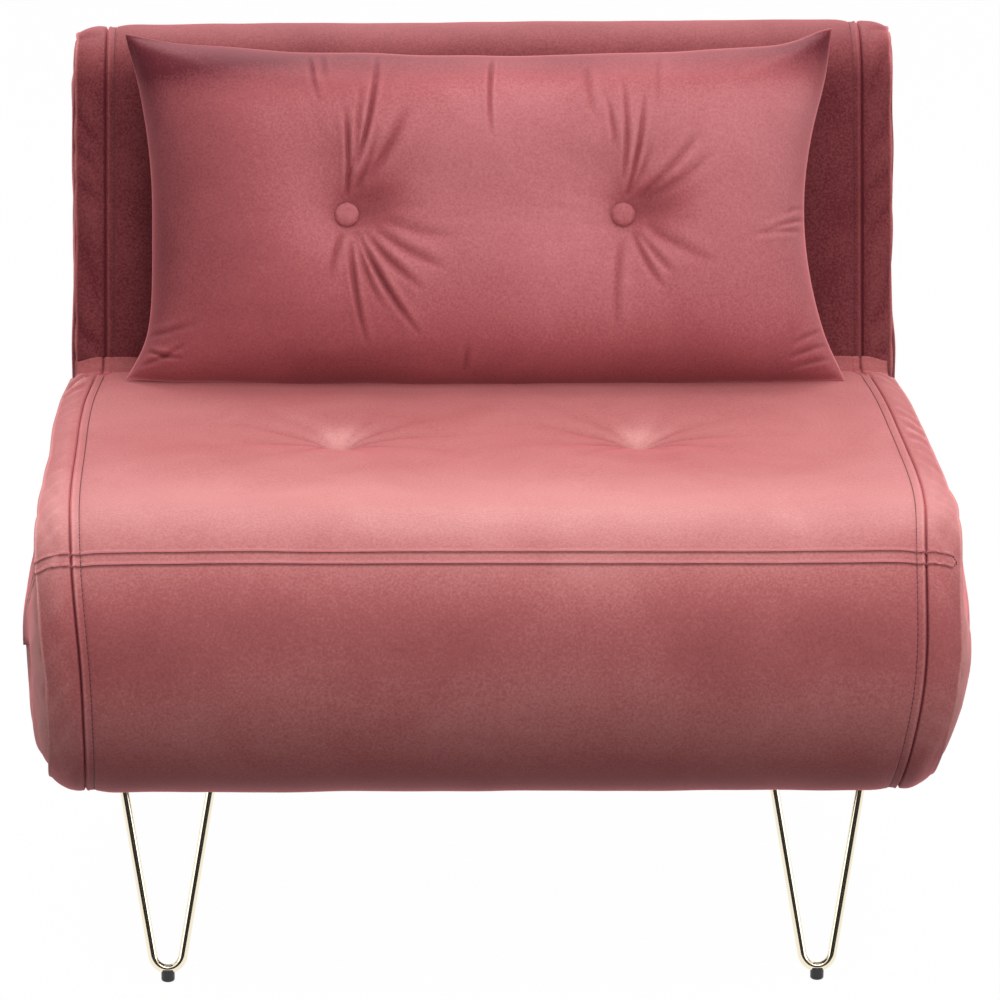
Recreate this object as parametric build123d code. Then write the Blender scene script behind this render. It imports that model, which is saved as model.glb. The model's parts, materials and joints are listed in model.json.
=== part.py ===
from build123d import *
from math import asin, atan2, cos, degrees, hypot, radians, sin, tan
import os

# Armless upholstered chair with a ratchet backrest. Millimetres, +Z up, the front faces -Y.
# Origin: centre of the footprint, on the floor.

# Overall form
seat_width = 816.0
seat_thickness = 257.0
underside_height = 182.0
crease_depth = 595.0
back_side_inset = 17.0
back_thickness = 120.0
back_face_length = 331.0
back_lean = 16.6
edge_round = 22.0
seat_round = 30.0
seat_side_taper = 15.0
seat_back_gap = 1.5
pocket_reach = 1.0

# Soft layers
cover_thickness = 2.5
wadding_thickness = 6.0
layer_gap = 0.3
dust_cover_thickness = 1.0
webbing_thickness = 2.0
webbing_width = 50.0
seat_long_straps = 5
seat_cross_straps = 4
back_straps = 5
tie_radius = 1.2
tie_clearance = 0.3
tuft_spacing = 272.0
tuft_depth = 346.0
tuft_washer_radius = 12.0
tuft_washer_thickness = 2.0
strip_thickness = 2.0
strip_side_inset = 46.0

# Seat frame, laid flat in the underside
frame_side_inset = 58.0
frame_front_inset = 130.0
frame_rear_inset = 30.0
board_height = 40.0
front_board_width = 70.0
side_board_width = 66.0
rear_board_width = 50.0
centre_board_width = 40.0
lip_overlap = 6.0
corner_block = 45.0

# Steel rails
rail_side_inset = 50.0
rail_width = 30.0
rail_height = 20.0
rail_wall = 1.5
rail_start = 196.0
rail_end = 695.0
rear_rail_centre = 660.0
rear_rail_width = 40.0
cap_thickness = 2.0
rail_bolt_radius = 3.0
rail_bolt_head_radius = 5.5
rail_bolt_head = 3.5
rail_bolt_count = 3
rail_bolt_inset = 40.0
bolt_bite = 28.0

# Hairpin legs
leg_side_inset = 61.5
front_leg_depth = 160.0
leg_splay = 14.0
rod_radius = 4.0
leg_top_spacing = 81.0
bend_radius = 13.5
foot_rise = 7.0
plate_length = 112.0
plate_width = 56.0
plate_thickness = 3.0
plate_round = 8.0
glide_radius = 6.0
glide_height = 11.0
glide_round = 2.0
screw_radius = 2.2
screw_head_radius = 4.2
screw_head = 1.6
screw_bite = 24.0
screw_inset = 8.0
hole_clearance = 0.1

# Ratchet hinges
steel_thickness = 5.0
running_gap = 0.5
pin_radius = 6.0
pin_clearance = 0.05
pin_head_radius = 10.0
pin_head = 3.0
sector_radius = 26.0
notch_depth = 5.0
notch_width = 6.6
recline_stops = 4
recline_range = 90.0 - back_lean
arm_width = 20.0
arm_reach = 150.0
arm_bolt_radius = 3.0
pawl_reach = 30.0
pawl_lift = 0.4
pawl_hub_radius = 7.0
pawl_pin_radius = 3.0
pawl_nose_width = 4.0
pawl_nose_height = 5.0
pawl_bar_height = 7.0
bracket_head_radius = 22.0
bracket_foot_front = 52.0
bracket_foot_rear = 48.0
bracket_shoulder = 66.0
hinge_bolt_inset = 20.0
lug_wall = 2.0
hinge_nut = 3.0
pocket_margin = 9.0
pocket_rise = 30.0

# Backrest frame
stile_width = 45.0
back_board = 22.0
back_rail_width = 45.0
frame_top_clear = 15.0

# Loose cushion
cushion_width = 672.0
cushion_height = 326.0
cushion_thickness = 130.0
cushion_edge = 14.0
cushion_end_crown = 214.0
cushion_waist = 20.0
cushion_sag = 9.0
dish_radius = 72.0
dish_depth = 17.0
cushion_skin = 2.0
rest_gap = 0.3
button_radius = 11.0
button_height = 6.0
button_spacing = 258.0
button_rise = -10.0
button_sink = 15.0
well_clearance = 1.2

# Places worked out from the sizes above
seat_top = underside_height + seat_thickness
back_width = seat_width - 2 * back_side_inset
strip_width = seat_width - 2 * strip_side_inset
frame_half_width = seat_width / 2 - frame_side_inset
rail_centre = frame_half_width - rail_side_inset
leg_spacing = 2 * (frame_half_width - leg_side_inset)
back_radius = back_thickness / 2
lean = radians(back_lean)
pivot_depth = crease_depth + back_radius * cos(lean) - back_radius * (1 - sin(lean)) * tan(lean)
pivot_z = seat_top - back_radius
pivot_to_crease = back_radius * (1 - sin(lean)) / cos(lean)
pivot_to_top = pivot_to_crease + back_face_length - back_radius
overall_depth = pivot_depth + pivot_to_top * sin(lean) + back_radius
front_y = -overall_depth / 2
pivot_y = front_y + pivot_depth
seat_rear = pivot_y - back_radius - seat_back_gap
frame_front = front_y + frame_front_inset
frame_rear = seat_rear - frame_rear_inset
frame_bottom = underside_height + cover_thickness
frame_top = frame_bottom + board_height
webbing_top = frame_top + 2 * webbing_thickness
rail_top = underside_height
rail_bottom = rail_top - rail_height
rail_outer = rail_centre + rail_width / 2
bracket_x = rail_outer
arm_x = bracket_x + steel_thickness + running_gap
stile_outer = arm_x
stile_inner = stile_outer - stile_width
pocket_inner = bracket_x - pocket_margin
pocket_outer = arm_x + steel_thickness + pocket_margin

parts = {}


def block(x_low, x_high, y_low, y_high, z_low, z_high):
    """A plain box from its lowest and highest corners."""
    size = Box(x_high - x_low, y_high - y_low, z_high - z_low)
    return Pos((x_low + x_high) / 2, (y_low + y_high) / 2, (z_low + z_high) / 2) * size


def upright(radius, x, y, z_low, z_high):
    """A vertical round bar."""
    return Pos(x, y, (z_low + z_high) / 2) * Cylinder(radius, z_high - z_low)


def crossbar(radius, x_low, x_high, y, z):
    """A round bar along X."""
    bar = Rot(0, 90, 0) * Cylinder(radius, x_high - x_low)
    return Pos((x_low + x_high) / 2, y, z) * bar


def plate_outline(outline, x_low, x_high):
    """A flat plate whose outline lies in the YZ plane."""
    return Pos(x_low, 0, 0) * extrude(Plane.YZ * outline, x_high - x_low)


def mirrored(piece):
    return mirror(piece, about=Plane.YZ)


def leaned(piece):
    """Carries a piece from the backrest's own upright frame, pivot at its origin, to its place."""
    return Pos(0, pivot_y, pivot_z) * Rot(-back_lean, 0, 0) * piece


def seat_form(inset):
    """The seat's padded outline, taken in evenly by inset."""
    radius = seat_thickness / 2 - inset
    middle = underside_height + seat_thickness / 2
    nose = front_y + seat_thickness / 2
    rear = seat_rear - inset
    low = (nose, middle - radius)
    high = (nose, middle + radius)
    arc = ThreePointArc(low, (nose - radius, middle), high)
    sides = Polyline(high, (rear, middle + radius), (rear, middle - radius), low)
    form = extrude(Plane.YZ * make_face([arc, *sides.edges()]), seat_width / 2, both=True)
    front_half = seat_width / 2 - inset
    rear_half = front_half - seat_side_taper
    plan = Polyline((-front_half, front_y), (front_half, front_y), (rear_half, seat_rear),
                    (-rear_half, seat_rear), close=True)
    form &= Pos(0, 0, middle - radius) * extrude(make_face(plan.edges()), 2 * radius)
    ends = form.faces().sort_by(Axis.X)
    rear_edges = form.faces().sort_by(Axis.Y)[-1].edges().filter_by(Axis.X)
    return fillet(ends[0].edges() + ends[-1].edges() + rear_edges, seat_round - inset)


def back_form(inset):
    """The backrest's padded outline in its own frame, both ends half round."""
    radius = back_radius - inset
    low_arc = ThreePointArc((-radius, 0), (0, -radius), (radius, 0))
    high_arc = ThreePointArc((radius, pivot_to_top), (0, pivot_to_top + radius), (-radius, pivot_to_top))
    rear = Line((radius, 0), (radius, pivot_to_top))
    front = Line((-radius, pivot_to_top), (-radius, 0))
    outline = make_face([low_arc, rear, high_arc, front])
    form = extrude(Plane.YZ * outline, back_width / 2 - inset, both=True)
    ends = form.faces().sort_by(Axis.X)
    return fillet(ends[0].edges() + ends[-1].edges(), edge_round - inset)


def hinge_pockets():
    """Room in the padding of the backrest's lower end for the two ratchet hinges."""
    reach = back_radius + pocket_reach
    pocket = block(pocket_inner, pocket_outer, -reach, reach, -reach, pocket_rise)
    return pocket + mirrored(pocket)


# Seat frame: five flat boards and four corner blocks.
front_board_rear = frame_front + front_board_width
rear_board_front = frame_rear - rear_board_width
side_inner = frame_half_width - side_board_width
front_board = block(-frame_half_width, frame_half_width, frame_front, front_board_rear,
                    frame_bottom, frame_top)
rear_board = block(-frame_half_width, frame_half_width, rear_board_front, frame_rear,
                   frame_bottom, frame_top)
right_board = block(side_inner, frame_half_width, front_board_rear, rear_board_front,
                    frame_bottom, frame_top)
half_centre = centre_board_width / 2
centre_board = block(-half_centre, half_centre, front_board_rear, rear_board_front, frame_bottom, frame_top)
front_triangle = Polyline((side_inner, front_board_rear), (side_inner - corner_block, front_board_rear),
                          (side_inner, front_board_rear + corner_block), close=True)
rear_triangle = Polyline((side_inner, rear_board_front), (side_inner - corner_block, rear_board_front),
                         (side_inner, rear_board_front - corner_block), close=True)
corner_blocks = []
for triangle in (front_triangle, rear_triangle):
    corner = Pos(0, 0, frame_bottom) * extrude(make_face(triangle.edges()), board_height)
    corner_blocks += [corner, mirrored(corner)]

# Webbing: straps along the seat, then straps across them.
long_straps = []
strap_pitch = 2 * side_inner / seat_long_straps
for index in range(seat_long_straps):
    strap_x = -side_inner + (index + 0.5) * strap_pitch
    long_straps.append(block(strap_x - webbing_width / 2, strap_x + webbing_width / 2,
                             frame_front, frame_rear, frame_top, frame_top + webbing_thickness))
cross_straps = []
cross_pitch = (rear_board_front - front_board_rear) / seat_cross_straps
for index in range(seat_cross_straps):
    strap_y = front_board_rear + (index + 0.5) * cross_pitch
    cross_straps.append(block(-frame_half_width, frame_half_width, strap_y - webbing_width / 2,
                              strap_y + webbing_width / 2, frame_top + webbing_thickness, webbing_top))

# Tuft ties hold the two dimples of the seat down to the webbing.
tuft_y = front_y + tuft_depth
tuft_top = seat_top - cover_thickness - layer_gap
washer_top = webbing_top + layer_gap + tuft_washer_thickness
tuft_ties = []
tie_holes = []
for tuft_x in (-tuft_spacing / 2, tuft_spacing / 2):
    washer = upright(tuft_washer_radius, tuft_x, tuft_y, webbing_top + layer_gap, washer_top)
    tuft_ties.append(washer + upright(tie_radius, tuft_x, tuft_y, webbing_top + layer_gap, tuft_top))
    hole = upright(tie_radius + tie_clearance, tuft_x, tuft_y, webbing_top, tuft_top + 1)
    recess = upright(tuft_washer_radius + tie_clearance, tuft_x, tuft_y, webbing_top,
                     washer_top + tie_clearance)
    tie_holes += [hole, recess]

# Steel rails under the seat frame, with their end caps.
rail_front_y = front_y + rail_start
rail_rear_y = front_y + rail_end
rear_rail_y = front_y + rear_rail_centre
side_tube = block(rail_outer - rail_width, rail_outer, rail_front_y, rail_rear_y, rail_bottom, rail_top)
side_tube -= block(rail_outer - rail_width + rail_wall, rail_outer - rail_wall, rail_front_y - 1,
                   rail_rear_y + 1, rail_bottom + rail_wall, rail_top - rail_wall)
rear_tube_half = rail_centre - rail_width / 2
rear_tube_low = rear_rail_y - rear_rail_width / 2
rear_tube_high = rear_rail_y + rear_rail_width / 2
rear_tube = block(-rear_tube_half, rear_tube_half, rear_tube_low, rear_tube_high, rail_bottom, rail_top)
rear_tube -= block(-rear_tube_half - 1, rear_tube_half + 1, rear_tube_low + rail_wall,
                   rear_tube_high - rail_wall, rail_bottom + rail_wall, rail_top - rail_wall)
rail_caps = []
for cap_low in (rail_front_y - cap_thickness, rail_rear_y):
    cap = block(rail_outer - rail_width, rail_outer, cap_low, cap_low + cap_thickness, rail_bottom, rail_top)
    rail_caps += [cap, mirrored(cap)]

rail_bolts = []
rail_holes = []
bolt_first = rail_front_y + rail_bolt_inset
bolt_last = frame_rear - rear_board_width / 2
for index in range(rail_bolt_count):
    bolt_y = bolt_first + (bolt_last - bolt_first) * index / (rail_bolt_count - 1)
    head = upright(rail_bolt_head_radius, rail_centre, bolt_y, rail_bottom - rail_bolt_head, rail_bottom)
    shank = upright(rail_bolt_radius, rail_centre, bolt_y, rail_bottom, frame_bottom + bolt_bite)
    hole = upright(rail_bolt_radius + hole_clearance, rail_centre, bolt_y, rail_bottom - 1,
                   frame_bottom + bolt_bite + 1)
    rail_bolts += [head + shank, mirrored(head + shank)]
    rail_holes += [hole, mirrored(hole)]

# Hairpin legs: one bent rod welded to a plate, standing in a plastic glide.


def hairpin(top_z, splay):
    """The bent rod in its own frame: the bend stands over the origin, the plate plane is top_z."""
    slant = (top_z - foot_rise - rod_radius) / cos(radians(splay))
    half = leg_top_spacing / 2
    distance = hypot(half, slant - bend_radius)
    spread = atan2(half, slant - bend_radius) - asin(bend_radius / distance)
    apex = bend_radius - bend_radius / sin(spread)
    overrun = slant + 2 * rod_radius
    end_x = (overrun - apex) * tan(spread)
    path = FilletPolyline((-end_x, 0, overrun), (0, 0, apex), (end_x, 0, overrun), radius=bend_radius)
    section = Plane(origin=path @ 0, z_dir=path % 0) * Circle(rod_radius)
    return Pos(0, 0, foot_rise + rod_radius) * Rot(splay, 0, 0) * sweep(section, path=path)


def leg(x, plate_y, top_z, splay):
    """A leg below the plane top_z: rod and plate in one piece, its glide, its screws and their holes."""
    rod = hairpin(top_z - plate_thickness, splay)
    rise = top_z - plate_thickness - foot_rise - rod_radius
    foot_y = plate_y + rise * tan(radians(splay))
    trim = block(-plate_length, plate_length, -plate_length, plate_length, top_z - plate_thickness / 2,
                 top_z + 10 * rod_radius)
    rod = Pos(x, foot_y, 0) * (rod - Pos(0, plate_y - foot_y, 0) * trim)
    sheet = extrude(RectangleRounded(plate_length, plate_width, plate_round), plate_thickness)
    sheet = Pos(x, plate_y, top_z - plate_thickness) * sheet
    screws = []
    holes = []
    for side_x in (-1, 1):
        for side_y in (-1, 1):
            screw_x = x + side_x * (plate_length / 2 - screw_inset)
            screw_y = plate_y + side_y * (plate_width / 2 - screw_inset)
            under = top_z - plate_thickness
            head = upright(screw_head_radius, screw_x, screw_y, under - screw_head, under)
            screws.append(head + upright(screw_radius, screw_x, screw_y, under, under + screw_bite))
            holes.append(upright(screw_radius + hole_clearance, screw_x, screw_y, under - 1,
                                 under + screw_bite + 1))
    welded = rod + (sheet - holes)
    standing = (Align.CENTER, Align.CENTER, Align.MIN)
    glide = Pos(x, foot_y, 0) * Cylinder(glide_radius, glide_height, align=standing)
    glide = fillet(glide.edges().sort_by(Axis.Z)[0], glide_round)
    glide -= rod
    return welded, glide, screws, holes, foot_y


leg_screws = []
wood_holes = []
tube_holes = []
leg_places = {}
for side, leg_x in (("left", -leg_spacing / 2), ("right", leg_spacing / 2)):
    for end, plate_y, top_z, splay in (("front", front_y + front_leg_depth, underside_height, leg_splay),
                                       ("rear", rear_rail_y, rail_bottom, leg_splay)):
        lean_way = -splay if end == "front" else splay
        welded, glide, screws, holes, foot_y = leg(leg_x, plate_y, top_z, lean_way)
        parts[f"{end}_leg_{side}"] = welded
        parts[f"{end}_glide_{side}"] = glide
        leg_screws += screws
        (wood_holes if end == "front" else tube_holes).extend(holes)
        leg_places[f"{end}_{side}"] = (leg_x, foot_y)

# Ratchet hinge of the right side, in the frame of the base; the left one mirrors it.
pawl_y = pivot_y - pawl_reach
pawl_z = pivot_z - sector_radius - pawl_lift
foot_front = pivot_y - bracket_foot_front
foot_rear = pivot_y + bracket_foot_rear
shoulder_z = pivot_z - bracket_shoulder
head_rear = pivot_y + bracket_head_radius - lug_wall
lug_front = pawl_y - pawl_hub_radius - lug_wall
outline = Polyline((foot_front, rail_bottom), (foot_rear, rail_bottom), (foot_rear, rail_top + rail_height),
                   (head_rear, shoulder_z), (head_rear, pivot_z), (pivot_y, pivot_z + lug_wall),
                   (lug_front, pawl_z), (lug_front, shoulder_z), close=True)
bracket_face = make_face(outline.edges()) + Pos(pivot_y, pivot_z) * Circle(bracket_head_radius)
bracket_face += Pos(pawl_y, pawl_z) * Circle(pawl_hub_radius + lug_wall)
bracket = plate_outline(bracket_face, bracket_x, bracket_x + steel_thickness)
bracket -= crossbar(pin_radius, bracket_x - 1, arm_x, pivot_y, pivot_z)
bracket -= crossbar(pawl_pin_radius, bracket_x - 1, arm_x, pawl_y, pawl_z)
hinge_bolts = []
hinge_holes = []
bolt_z = (rail_bottom + rail_top) / 2
for bolt_y in (foot_front + hinge_bolt_inset, foot_rear - hinge_bolt_inset):
    head = crossbar(rail_bolt_head_radius, bracket_x + steel_thickness,
                    bracket_x + steel_thickness + rail_bolt_head, bolt_y, bolt_z)
    nut_x = bracket_x - rail_wall
    shank = crossbar(rail_bolt_radius, nut_x - hinge_nut, bracket_x + steel_thickness, bolt_y, bolt_z)
    hinge_bolts += [head + shank, mirrored(head + shank)]
    hole = crossbar(rail_bolt_radius + hole_clearance, nut_x - hinge_nut - 1,
                    bracket_x + steel_thickness + 1, bolt_y, bolt_z)
    hinge_holes += [hole, mirrored(hole)]
    bracket -= hole

pin_end = arm_x + steel_thickness + running_gap
hinge_pin = crossbar(pin_radius, bracket_x, pin_end, pivot_y, pivot_z)
hinge_pin += crossbar(pin_head_radius, pin_end, pin_end + pin_head, pivot_y, pivot_z)
hinge_pin += crossbar(pin_head_radius, bracket_x - pin_head, bracket_x, pivot_y, pivot_z)
pawl_pin = crossbar(pawl_pin_radius, bracket_x, pin_end, pawl_y, pawl_z)
pawl_pin += crossbar(pawl_hub_radius - 1, pin_end, pin_end + pin_head / 2, pawl_y, pawl_z)
pawl_pin += crossbar(pawl_hub_radius - 1, bracket_x - pin_head / 2, bracket_x, pawl_y, pawl_z)

nose_top = pawl_z
bar_top = nose_top - pawl_nose_height + 1
pawl_face = Pos(pawl_y, pawl_z) * Circle(pawl_hub_radius)
half_nose = pawl_nose_width / 2
bar_bottom = bar_top - pawl_bar_height
bar = Polyline((pawl_y, bar_bottom), (pivot_y + half_nose, bar_bottom), (pivot_y + half_nose, nose_top),
               (pivot_y - half_nose, nose_top), (pivot_y - half_nose, bar_top), (pawl_y, bar_top), close=True)
pawl_face += make_face(bar.edges())
pawl = plate_outline(pawl_face, arm_x, arm_x + steel_thickness)
pawl -= crossbar(pawl_pin_radius + pin_clearance, arm_x - 1, pin_end, pawl_y, pawl_z)

# The backrest's ratchet arm, first with the pivot at the origin and the backrest upright.
arm_face = Circle(sector_radius) + Pos(0, arm_reach / 2) * Rectangle(arm_width, arm_reach)
for index in range(recline_stops):
    angle = recline_range * index / (recline_stops - 1) + back_lean
    slot = Pos(0, -sector_radius) * Rectangle(notch_width, 2 * notch_depth)
    arm_face -= Rot(0, 0, angle) * slot
arm = plate_outline(arm_face, arm_x, arm_x + steel_thickness)
arm -= crossbar(pin_radius + pin_clearance, arm_x - 1, arm_x + steel_thickness + 1, 0, 0)
arm_room = block(arm_x - layer_gap, arm_x + steel_thickness + layer_gap, -arm_width / 2 - layer_gap,
                 arm_width / 2 + layer_gap, 0, arm_reach + layer_gap)
arm_bolts = []
arm_holes = []
for bolt_s in (arm_reach * 0.5, arm_reach * 0.85):
    head_end = arm_x + steel_thickness + rail_bolt_head
    head = crossbar(rail_bolt_head_radius, arm_x + steel_thickness, head_end, 0, bolt_s)
    shank = crossbar(arm_bolt_radius, arm_x - bolt_bite, arm_x + steel_thickness, 0, bolt_s)
    hole = crossbar(arm_bolt_radius + hole_clearance, arm_x - bolt_bite - 1,
                    arm_x + steel_thickness + 1, 0, bolt_s)
    room = crossbar(rail_bolt_head_radius + layer_gap, arm_x, head_end + layer_gap, 0, bolt_s)
    arm_bolts += [head + shank, mirrored(head + shank)]
    arm_holes.append(hole)
    arm_room += room
    arm -= hole
arm_room += mirrored(arm_room)

# Backrest frame, upright: two stiles, two rails and the straps across their front.
half_board = back_board / 2
frame_low = pocket_rise + 2
frame_high = pivot_to_top - frame_top_clear
stile = block(stile_inner, stile_outer, -half_board, half_board, frame_low, frame_high) - arm_holes
bottom_rail = block(-stile_inner, stile_inner, -half_board, half_board,
                    frame_low, frame_low + back_rail_width)
top_rail = block(-stile_inner, stile_inner, -half_board, half_board, frame_high - back_rail_width, frame_high)
back_webbing = []
back_pitch = 2 * stile_inner / back_straps
for index in range(back_straps):
    strap_x = -stile_inner + (index + 0.5) * back_pitch
    back_webbing.append(block(strap_x - webbing_width / 2, strap_x + webbing_width / 2,
                              -half_board - webbing_thickness, -half_board, frame_low, frame_high))
frame_room = block(-stile_outer - layer_gap, stile_outer + layer_gap,
                   -half_board - webbing_thickness - layer_gap, half_board + layer_gap,
                   frame_low - layer_gap, frame_high + layer_gap)

# Padding and covers.
wadding_inset = cover_thickness + layer_gap
foam_inset = wadding_inset + wadding_thickness + layer_gap
lip_x = side_inner + lip_overlap
lip_front = front_board_rear - lip_overlap
lip_rear = rear_board_front + lip_overlap
underside = block(-lip_x, lip_x, lip_front, lip_rear, underside_height - 1, frame_bottom + 1)
dust_cover = block(-lip_x + layer_gap, lip_x - layer_gap, lip_front + layer_gap, lip_rear - layer_gap,
                   frame_bottom - dust_cover_thickness, frame_bottom)
seat_frame_room = block(-frame_half_width - layer_gap, frame_half_width + layer_gap, frame_front - layer_gap,
                        frame_rear + layer_gap, underside_height - 1, webbing_top + layer_gap)
seat_cover = seat_form(0) - seat_form(cover_thickness) - underside - wood_holes - rail_holes
seat_wadding = seat_form(wadding_inset) - seat_form(wadding_inset + wadding_thickness) - seat_frame_room
seat_wadding -= tie_holes
seat_foam = seat_form(foam_inset) - seat_frame_room - tie_holes

pockets = hinge_pockets()
back_cover = back_form(0) - back_form(cover_thickness) - pockets
back_wadding = back_form(wadding_inset) - back_form(wadding_inset + wadding_thickness) - pockets
back_core = back_form(foam_inset) - pockets - frame_room - arm_room
behind = block(-back_width, back_width, 0, back_thickness, -back_thickness, 2 * pivot_to_top)
ahead = block(-back_width, back_width, -back_thickness, 0, -back_thickness, 2 * pivot_to_top)
back_foam_front = back_core - behind
back_foam_rear = back_core - ahead

# The fabric strip that closes the crease between the seat and the backrest.
strip_z = seat_top - seat_round - strip_thickness
strip_reach = (seat_top - strip_z + strip_thickness) * tan(lean) + 2 * rest_gap
strip = block(-strip_width / 2, strip_width / 2, seat_rear, front_y + crease_depth - strip_reach,
              strip_z - strip_thickness, strip_z)

# Loose cushion, upright in the backrest's frame, leaning on its face and standing on the seat.
half_cushion = cushion_thickness / 2
cushion_y = -(back_radius + rest_gap + half_cushion)
lowest_y = cushion_y + cushion_edge / 2
drop = (back_radius + rest_gap + lowest_y * sin(lean)) / cos(lean)
cushion_s = cushion_height / 2 + drop


def lens(length, thickness, edge, across=False):
    """A face bounded by two shallow arcs, blunt at both ends, its length along Y or, if across, along X."""
    half = length / 2
    low = [(-edge / 2, -half), (-thickness / 2, 0), (-edge / 2, half)]
    high = [(edge / 2, half), (thickness / 2, 0), (edge / 2, -half)]
    if across:
        low = [(v, u) for u, v in low]
        high = [(v, u) for u, v in high]
    arcs = [ThreePointArc(*low), ThreePointArc(*high)]
    ends = [Line(low[2], high[0]), Line(high[2], low[0])]
    return make_face([*arcs, *ends])


def cushion_form(inset):
    """The cushion's crowned form with hollowed sides and drawn-out corners, taken in by inset."""
    width = cushion_width - 2 * inset
    height = cushion_height - 2 * inset
    edge = cushion_edge - 2 * inset
    waist = width / 2 - cushion_waist
    right = ThreePointArc((width / 2, -height / 2), (waist, 0), (width / 2, height / 2))
    top = ThreePointArc((width / 2, height / 2), (0, height / 2 - cushion_sag), (-width / 2, height / 2))
    left = ThreePointArc((-width / 2, height / 2), (-waist, 0), (-width / 2, -height / 2))
    foot = Line((-width / 2, -height / 2), (width / 2, -height / 2))
    outline = extrude(Plane.XZ * make_face([right, top, left, foot]), cushion_thickness, both=True)
    upright_lens = extrude(Plane.YZ * lens(height, cushion_thickness - 2 * inset, edge), width / 2, both=True)
    level_lens = extrude(lens(width, cushion_end_crown - 2 * inset, edge, across=True), height / 2, both=True)
    return outline & upright_lens & level_lens


def button_wells(grow):
    """The dished tufts, each with the well that its covered button sits in."""
    slope = (dish_radius - button_radius) / dish_depth
    floor = half_cushion - dish_depth - grow * hypot(1, 1 / slope)
    dish_height = half_cushion + dish_depth - floor
    wells = []
    for button_x in (-button_spacing / 2, button_spacing / 2):
        for way in (-1, 1):
            deep = half_cushion - button_sink - button_height - grow
            well = Rot(90, 0, 0) * Cylinder(button_radius + well_clearance + grow, half_cushion)
            wells.append(Pos(button_x, way * (deep + half_cushion / 2), button_rise) * well)
            dish = Cone(button_radius, button_radius + slope * dish_height, dish_height)
            dish = Rot(-way * 90, 0, 0) * dish
            wells.append(Pos(button_x, way * (floor + dish_height / 2), button_rise) * dish)
    return wells


cushion_cover = cushion_form(0) - button_wells(0) - (cushion_form(cushion_skin) - button_wells(cushion_skin))
cushion_fill = cushion_form(cushion_skin + layer_gap) - button_wells(cushion_skin + layer_gap)
front_buttons = []
rear_buttons = []
cushion_ties = []
button_face = half_cushion - button_sink
for button_x in (-button_spacing / 2, button_spacing / 2):
    button = Rot(90, 0, 0) * Cylinder(button_radius, button_height)
    button = fillet(button.edges().sort_by(Axis.Y)[0], button_height / 3)
    front_buttons.append(Pos(button_x, -(button_face - button_height / 2), button_rise) * button)
    turned = Rot(180, 0, 0) * button
    rear_buttons.append(Pos(button_x, button_face - button_height / 2, button_rise) * turned)
    tie_length = 2 * (button_face - button_height)
    cushion_ties.append(Pos(button_x, 0, button_rise) * (Rot(90, 0, 0) * Cylinder(tie_radius, tie_length)))
    hole = Rot(90, 0, 0) * Cylinder(tie_radius + hole_clearance, cushion_thickness)
    hole = Pos(button_x, 0, button_rise) * hole
    cushion_cover -= hole
    cushion_fill -= hole


def leaning_cushion(piece):
    return leaned(Pos(0, cushion_y, cushion_s) * piece)


def each(pieces, place=lambda piece: piece):
    return Compound(children=[place(piece) for piece in pieces])


parts["seat_front_board"] = front_board - wood_holes
parts["seat_rear_board"] = rear_board - rail_holes
parts["seat_side_board_right"] = right_board - rail_holes
parts["seat_side_board_left"] = mirrored(right_board) - rail_holes
parts["seat_centre_board"] = centre_board
parts["seat_corner_blocks"] = each(corner_blocks)
parts["seat_webbing_long"] = each(long_straps)
parts["seat_webbing_cross"] = each(cross_straps)
parts["seat_foam"] = seat_foam
parts["seat_wadding"] = seat_wadding
parts["seat_cover"] = seat_cover
parts["seat_dust_cover"] = dust_cover
parts["seat_tuft_ties"] = each(tuft_ties)
parts["crease_strip"] = strip
parts["side_rail_right"] = side_tube - rail_holes - hinge_holes - tube_holes
parts["side_rail_left"] = mirrored(side_tube) - rail_holes - hinge_holes - tube_holes
parts["rear_cross_rail"] = rear_tube - tube_holes
parts["rail_end_caps"] = each(rail_caps)
parts["rail_bolts"] = each(rail_bolts)
parts["leg_screws"] = each(leg_screws)
parts["hinge_bracket_right"] = bracket
parts["hinge_bracket_left"] = mirrored(bracket)
parts["hinge_bracket_bolts"] = each(hinge_bolts)
parts["hinge_pin_right"] = hinge_pin
parts["hinge_pin_left"] = mirrored(hinge_pin)
parts["pawl_pins"] = each([pawl_pin, mirrored(pawl_pin)])
parts["pawl_right"] = pawl
parts["pawl_left"] = mirrored(pawl)
parts["ratchet_arm_right"] = leaned(arm)
parts["ratchet_arm_left"] = leaned(mirrored(arm))
parts["ratchet_arm_bolts"] = each(arm_bolts, leaned)
parts["back_stile_right"] = leaned(stile)
parts["back_stile_left"] = leaned(mirrored(stile))
parts["back_bottom_rail"] = leaned(bottom_rail)
parts["back_top_rail"] = leaned(top_rail)
parts["back_webbing"] = each(back_webbing, leaned)
parts["back_foam_front"] = leaned(back_foam_front)
parts["back_foam_rear"] = leaned(back_foam_rear)
parts["back_wadding"] = leaned(back_wadding)
parts["back_cover"] = leaned(back_cover)
parts["cushion_cover"] = leaning_cushion(cushion_cover)
parts["cushion_fill"] = leaning_cushion(cushion_fill)
parts["cushion_front_buttons"] = each(front_buttons, leaning_cushion)
parts["cushion_rear_buttons"] = each(rear_buttons, leaning_cushion)
parts["cushion_ties"] = each(cushion_ties, leaning_cushion)

os.makedirs("parts", exist_ok=True)
for name, piece in parts.items():
    export_step(piece, f"parts/{name}.step")

print("backrest pivot", 0, round(pivot_y, 3), round(pivot_z, 3), "range", round(recline_range, 2))
print("pawl pivot", round(arm_x, 3), round(pawl_y, 3), round(pawl_z, 3))
print("depth", round(overall_depth, 2), "front", round(front_y, 2), "seat rear", round(seat_rear, 2))
print("cushion slide", 0, round(-cos(lean), 5), round(sin(lean), 5))
for name, (leg_x, foot_y) in leg_places.items():
    print("glide", name, round(leg_x, 3), round(foot_y, 3))
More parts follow.
